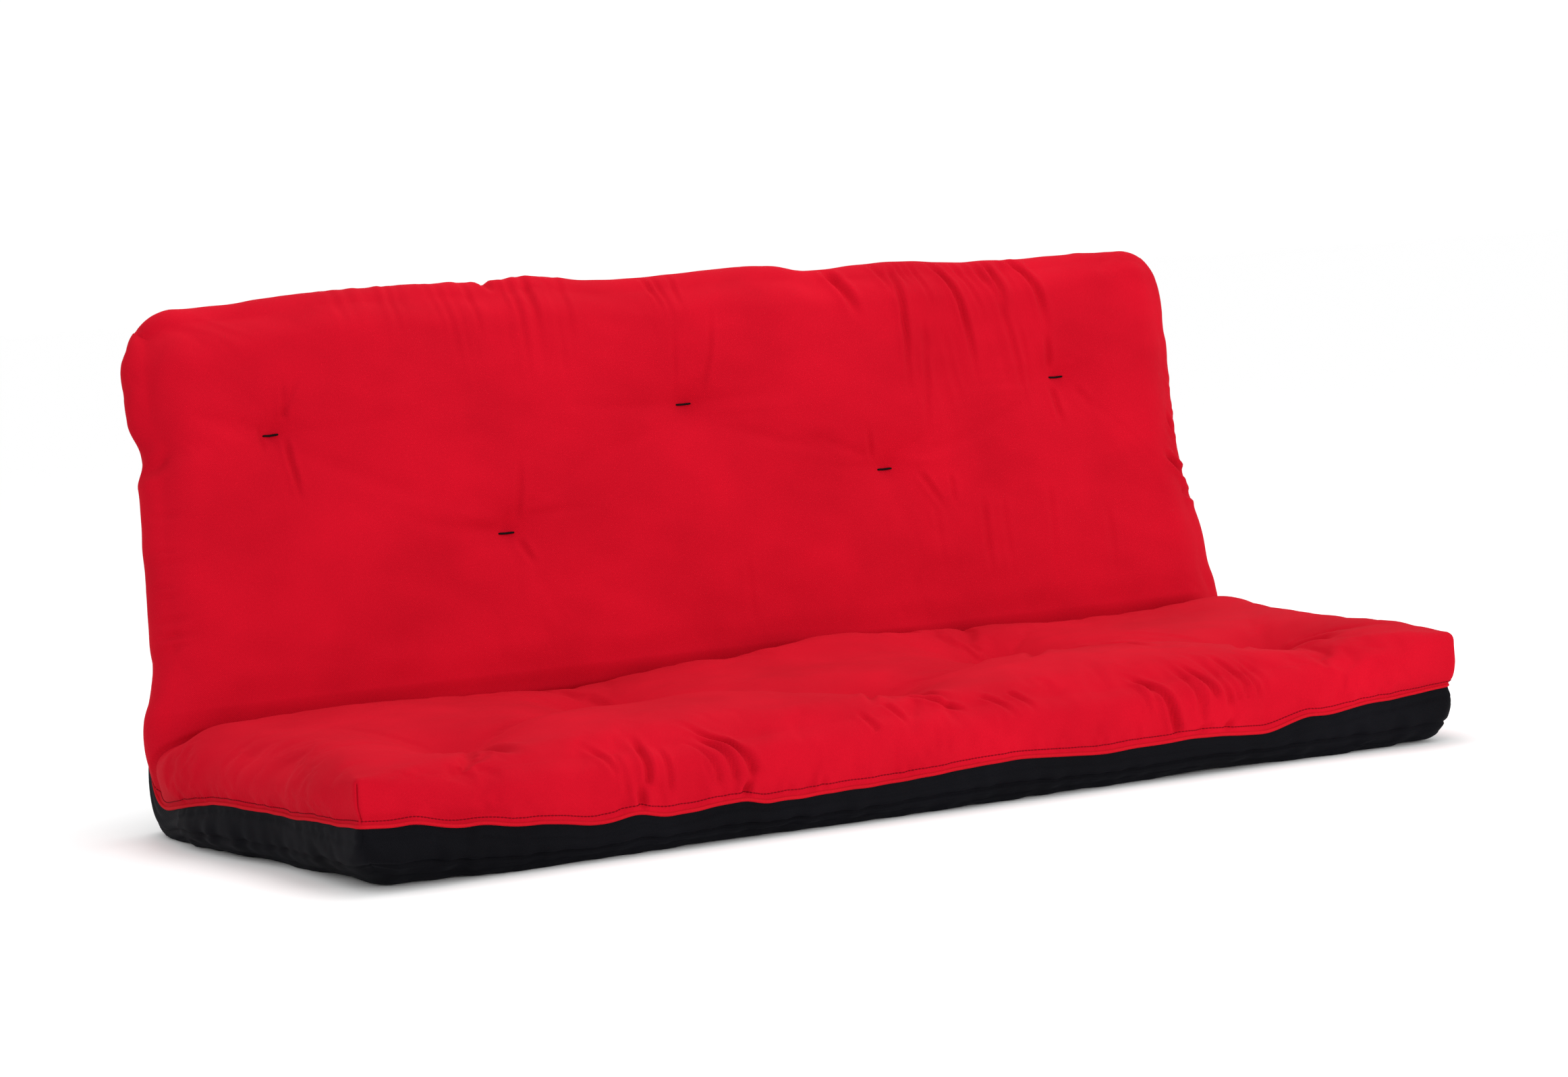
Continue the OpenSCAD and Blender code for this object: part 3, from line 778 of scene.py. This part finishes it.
def node_material(name, base, roughness, sheen=0.0, sheen_tint=(1, 1, 1), specular=0.05):
    """Plain dull material: the material, its node tree and its shader."""
    material = bpy.data.materials.new(name)
    material.use_nodes = True
    tree = material.node_tree
    shader = tree.nodes["Principled BSDF"]
    shader.inputs["Roughness"].default_value = roughness
    shader.inputs["Sheen Weight"].default_value = sheen
    shader.inputs["Sheen Roughness"].default_value = 0.5
    shader.inputs["Sheen Tint"].default_value = (*sheen_tint, 1)
    shader.inputs["Specular IOR Level"].default_value = specular
    shader.inputs["Base Color"].default_value = (*base, 1)
    return material, tree, shader


RIB_SCALE = 0.3 / 0.0014             # wave scale of the twill: its ribs are about 2 mm apart
GRAIN_SCALE = 420                    # noise scale of the yarn
DRIFT_SCALE = 5                      # noise scale of the dye's slow wandering
SPECKLE = 0.35                       # share of the colour change that the yarn makes; the dye makes the rest


def fabric(name, base, dark, roughness, sheen, sheen_tint):
    """Twill cloth: diagonal ribs and a fine grain as bump, speckled yarn, and a slow wandering of the dye."""
    material, tree, shader = node_material(name, base, roughness, sheen, sheen_tint)
    nodes, links = tree.nodes, tree.links
    uv = nodes.new("ShaderNodeUVMap")
    uv.uv_map = "Sheet"
    ribs = nodes.new("ShaderNodeTexWave")
    ribs.bands_direction = "DIAGONAL"
    ribs.inputs["Scale"].default_value = RIB_SCALE
    ribs.inputs["Distortion"].default_value = 1.5
    ribs.inputs["Detail"].default_value = 1.0
    grain = nodes.new("ShaderNodeTexNoise")
    grain.inputs["Scale"].default_value = GRAIN_SCALE
    grain.inputs["Detail"].default_value = 3
    grain.inputs["Roughness"].default_value = 0.7
    drift = nodes.new("ShaderNodeTexNoise")
    drift.inputs["Scale"].default_value = DRIFT_SCALE
    drift.inputs["Detail"].default_value = 3
    span = nodes.new("ShaderNodeMapRange")
    span.inputs["From Min"].default_value = 0.3
    span.inputs["From Max"].default_value = 0.7
    span.inputs["To Max"].default_value = 1 - SPECKLE
    yarn = nodes.new("ShaderNodeMapRange")
    yarn.inputs["From Min"].default_value = 0.35
    yarn.inputs["From Max"].default_value = 0.65
    yarn.inputs["To Max"].default_value = SPECKLE
    shade = nodes.new("ShaderNodeMath")
    shade.operation = "ADD"
    mix = nodes.new("ShaderNodeMix")
    mix.data_type = "RGBA"
    mix.inputs["A"].default_value = (*dark, 1)
    mix.inputs["B"].default_value = (*base, 1)
    height = nodes.new("ShaderNodeMath")
    height.operation = "ADD"
    bump = nodes.new("ShaderNodeBump")
    bump.inputs["Strength"].default_value = 0.35
    bump.inputs["Distance"].default_value = 0.0006
    for node in (ribs, grain, drift):
        links.new(uv.outputs["UV"], node.inputs["Vector"])
    links.new(drift.outputs["Fac"], span.inputs["Value"])
    links.new(grain.outputs["Fac"], yarn.inputs["Value"])
    links.new(span.outputs["Result"], shade.inputs[0])
    links.new(yarn.outputs["Result"], shade.inputs[1])
    links.new(shade.outputs["Value"], mix.inputs["Factor"])
    links.new(mix.outputs["Result"], shader.inputs["Base Color"])
    links.new(ribs.outputs["Fac"], height.inputs[0])
    links.new(grain.outputs["Fac"], height.inputs[1])
    links.new(height.outputs["Value"], bump.inputs["Height"])
    links.new(bump.outputs["Normal"], shader.inputs["Normal"])
    return material


RED = fabric("red_twill", (0.53, 0.0036, 0.016), (0.40, 0.0022, 0.011), 0.95, 0.02, (1.0, 0.2, 0.25))
WELT = fabric("welt_twill", (0.52, 0.0055, 0.015), (0.41, 0.0035, 0.011), 0.9, 0.02, (1.0, 0.3, 0.25))
BLACK = fabric("black_twill", (0.0038, 0.0038, 0.0056), (0.0013, 0.0013, 0.0020), 0.75, 0.01, (0.5, 0.5, 0.7))
THREAD = fabric("red_thread", (0.22, 0.002, 0.008), (0.14, 0.001, 0.005), 0.8, 0.0, (1, 0.3, 0.3))
TWINE = fabric("tuft_twine", (0.010, 0.006, 0.006), (0.004, 0.003, 0.003), 0.8, 0.0, (0.5, 0.5, 0.5))


# ---- Pieces ----

def across_fold(piece, replaced):
    """A piece that bends at the fold: its transform is baked into its mesh, and the CAD parts that it replaces are
    hidden.
    """
    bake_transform(piece)
    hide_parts(*replaced)


def parts_named(*ends):
    """Names of the CAD nodes that end in one of these."""
    return [n for n in frame["nodes"] if any(n.endswith(e) for e in ends)]


def ring_of(points, rings_up):
    """The ring of a cover's wall that lies so many rings from the welt."""
    count = len(LOOP)
    end = len(points) - rings_up * count
    return points[end - count:end]


def stitches(line, length=0.0042, gap=0.0014, radius=0.0008):
    """Separate stitches laid along a line, each thinner at its ends."""
    fine = resampled(line, (length + gap) / 5)
    shapes = []
    for i in range(0, len(fine) - 5, 5):
        shapes.append(tube(fine[i:i + 5], radius * np.array([0.5, 1, 1.05, 1, 0.5]), 5, False))
    return joined(shapes)


def stitch_line(points):
    """Line of the stitching: a little above the welt and just proud of the red cover."""
    below, above = ring_of(points, 1), ring_of(points, 3)
    across = np.cross(above - below, np.roll(below, -1, 0) - np.roll(below, 1, 0))
    outward = -across / np.linalg.norm(across, axis=1, keepdims=True)
    return ring_of(points, 2) + STITCH_LIFT * outward


upper_points, upper_sheet = cover_points(True)
lower_points, lower_sheet = cover_points(False)
# the drawn creases are left out of the simulation, which would blow them flat
upper_points += settled(cover_points(True, creased=False)[0], True)
lower_points += settled(lower_points, False)
# nothing goes below the floor
lower_points[:, 2] = np.maximum(lower_points[:, 2], 0.0)
top_cover = cover_mesh("top_cover", upper_points, upper_sheet, True, RED)
under_cover = cover_mesh("under_cover", lower_points, lower_sheet, False, BLACK)

welt_line = resampled(ring_of(upper_points, 0), 0.006)
verts, faces = tube(welt_line, WELT_SHOWN * WELT_R, 10, True)
welt = new_mesh("welt", verts, faces, WELT, verts[:, :2])

verts, faces = stitches(stitch_line(upper_points))
stitching = new_mesh("cover_stitching", verts, faces, THREAD, verts[:, :2])

across_fold(top_cover, parts_named("top_cover", "gussets", "top_batting", "foam_core"))
across_fold(under_cover, parts_named("bottom_border", "bottom_panel", "bottom_batting"))
across_fold(welt, parts_named("_welt", "welt_cord"))
across_fold(stitching, parts_named("cover_stitching"))


def tuft_bars(name, tufts, replaced, body):
    """Bar stitches of one half, on both faces: a short bar of twine with its ends pulled in."""
    t = np.linspace(-1, 1, 17)
    shapes = []
    for x, s in tufts:
        for points, lift in ((upper_points, 1), (lower_points, -1)):
            face = points[:len(XS) * len(SS)].reshape(len(XS), len(SS), 3)
            j = np.argmin(np.abs(SS - s))
            line = np.stack([np.interp(x + BAR_HALF * t, XS, face[:, j, c]) for c in range(3)], -1)
            i = np.argmin(np.abs(XS - x))
            normal = np.cross(face[i + 1, j] - face[i - 1, j], face[i, j + 1] - face[i, j - 1])
            normal *= lift / np.linalg.norm(normal)
            line += (BAR_R - 0.0045 * np.abs(t) ** 10)[:, None] * normal
            shapes.append(tube(line, BAR_R * (1 - 0.35 * np.abs(t) ** 6), 8, False))
    verts, faces = joined(shapes)
    bars = new_mesh(name, verts, faces, TWINE, verts[:, :2] * 20)
    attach(bars, body)
    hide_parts(replaced)


tuft_bars("seat_tuft_bars", SEAT_TUFTS, "seat_tufts", "seat")
tuft_bars("back_tuft_bars", BACK_TUFTS, "back_tufts", "back")


# ---- Stage, light and camera ----

FLOOR = 30                           # half the floor's side
FLOOR_DROP = 0.0005                  # keeps the floor clear of the underside
CAMERA_PLACE = (-3.062, -5.461, 0.939)
CAMERA_AIM = (28.73, 4.94, -3.19)    # azimuth, downward tilt and roll, in degrees
CAMERA_LENS = 93


def make_stage():
    """Plain pale floor."""
    mesh = bpy.data.meshes.new("floor")
    corners = [(-FLOOR, -FLOOR, 0), (FLOOR, -FLOOR, 0), (FLOOR, FLOOR, 0), (-FLOOR, FLOOR, 0)]
    mesh.from_pydata(corners, [], [(0, 1, 2, 3)])
    floor = bpy.data.objects.new("floor", mesh)
    floor.location.z = -FLOOR_DROP
    bpy.context.scene.collection.objects.link(floor)
    mesh.materials.append(node_material("floor_paper", (0.97, 0.97, 0.97), 0.9)[0])


def area_light(name, place, target, size, watts):
    """Rectangular lamp at a place, turned towards its target."""
    data = bpy.data.lights.new(name, "AREA")
    data.shape = "RECTANGLE"
    data.size, data.size_y = size
    data.energy = watts
    light = bpy.data.objects.new(name, data)
    light.location = place
    light.rotation_euler = (Vector(target) - Vector(place)).to_track_quat("-Z", "Y").to_euler()
    bpy.context.scene.collection.objects.link(light)


def make_light():
    """White surroundings, a low lamp before the right half and one above and behind, aimed at the seat."""
    world = bpy.data.worlds.new("studio")
    world.use_nodes = True
    background = world.node_tree.nodes["Background"]
    background.inputs["Color"].default_value = (1, 1, 1, 1)
    background.inputs["Strength"].default_value = 1.03
    bpy.context.scene.world = world
    area_light("key", (2.0, -4.9, 0.9), (0.0, 0, 0.25), (1.8, 1.8), 115)
    area_light("overhead", (0.3, 0.9, 3.4), (0.0, -0.1, 0.2), (2.2, 2.2), 50)
    bpy.context.scene.view_settings.view_transform = "Standard"


def make_camera():
    """Camera at the photo's angle."""
    azimuth, tilt, roll = (math.radians(a) for a in CAMERA_AIM)
    forward = Vector((math.sin(azimuth) * math.cos(tilt),
                      math.cos(azimuth) * math.cos(tilt),
                      -math.sin(tilt)))
    level = forward.cross(Vector((0, 0, 1))).normalized()
    upright = level.cross(forward)
    right = level * math.cos(roll) + upright * math.sin(roll)
    up = upright * math.cos(roll) - level * math.sin(roll)
    data = bpy.data.cameras.new("camera")
    data.sensor_width = 36
    data.lens = CAMERA_LENS
    camera = bpy.data.objects.new("camera", data)
    turn = Matrix((right, up, -forward)).transposed()
    camera.matrix_world = Matrix.Translation(CAMERA_PLACE) @ turn.to_4x4()
    bpy.context.scene.collection.objects.link(camera)
    bpy.context.scene.camera = camera


make_stage()
make_light()
make_camera()
